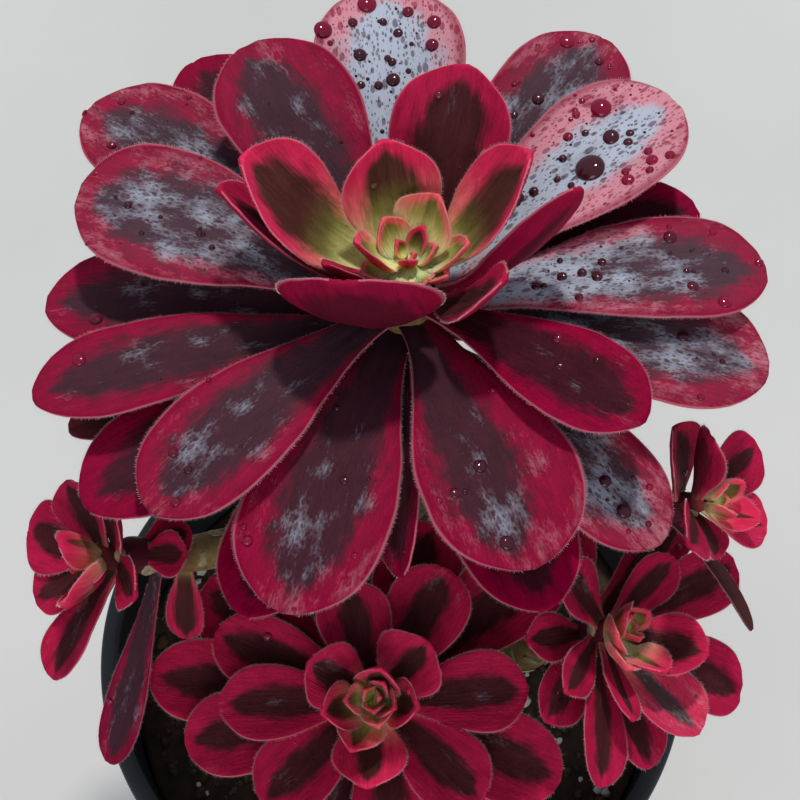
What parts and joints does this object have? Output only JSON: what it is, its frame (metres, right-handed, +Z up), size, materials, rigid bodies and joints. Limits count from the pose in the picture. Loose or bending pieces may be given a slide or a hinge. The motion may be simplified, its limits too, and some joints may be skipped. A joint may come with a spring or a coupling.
{
  "type": "potted aeonium",
  "caption": "Potted tree aeonium: a large dark crimson rosette on a woody stem, with smaller side rosettes on branches, standing in soil in a plain round nursery pot.",
  "frame": {"origin": "on the floor under the middle of the pot's base", "axes": "+Z up along the pot's axis, -Y towards the front of the plant as pictured, +X to its right"},
  "size_m": [0.1666, 0.1878, 0.274],
  "materials": {
    "pot_plastic": "satin moulded black polypropylene",
    "soil": "damp dark potting mix with pale perlite",
    "woody_stem": "grey-brown woody stem with leaf scars",
    "leaf": "crimson succulent leaf with a dark central stripe and patches of pale wax",
    "heart_leaf": "lime-green young leaf with a salmon pink edge",
    "dry_leaf": "shrivelled grey-brown dry leaf"
  },
  "bodies": {
    "root": {"pot": "pot_plastic", "soil": "soil", "stems": "woody_stem", "rosette_heart": "heart_leaf", "rosette_leaf_01": "leaf", "rosette_leaf_02": "leaf", "rosette_leaf_03": "leaf", "rosette_leaf_04": "leaf", "rosette_leaf_05": "leaf", "rosette_leaf_06": "leaf", "rosette_leaf_07": "leaf", "rosette_leaf_08": "leaf", "rosette_leaf_09": "leaf", "rosette_leaf_10": "leaf", "rosette_leaf_11": "leaf", "rosette_leaf_12": "leaf", "rosette_leaf_13": "leaf", "rosette_leaf_14": "leaf", "rosette_leaf_15": "leaf", "rosette_leaf_16": "leaf", "rosette_leaf_17": "leaf", "rosette_leaf_18": "leaf", "rosette_leaf_19": "leaf", "rosette_leaf_20": "leaf", "rosette_leaf_21": "leaf", "rosette_leaf_22": "leaf", "rosette_leaf_23": "leaf", "rosette_leaf_24": "leaf", "rosette_leaf_25": "leaf", "rosette_leaf_26": "leaf", "rosette_leaf_27": "leaf", "rosette_leaf_28": "leaf", "rosette_leaf_29": "leaf", "rosette_leaf_30": "leaf", "rosette_leaf_31": "leaf", "hanging_leaf_long": "leaf", "hanging_leaf_short": "leaf", "hanging_leaf_dry": "dry_leaf", "side_head_front": "leaf", "side_head_right": "leaf", "side_head_far": "leaf", "side_head_left": "leaf"}
  },
  "joints": []
}
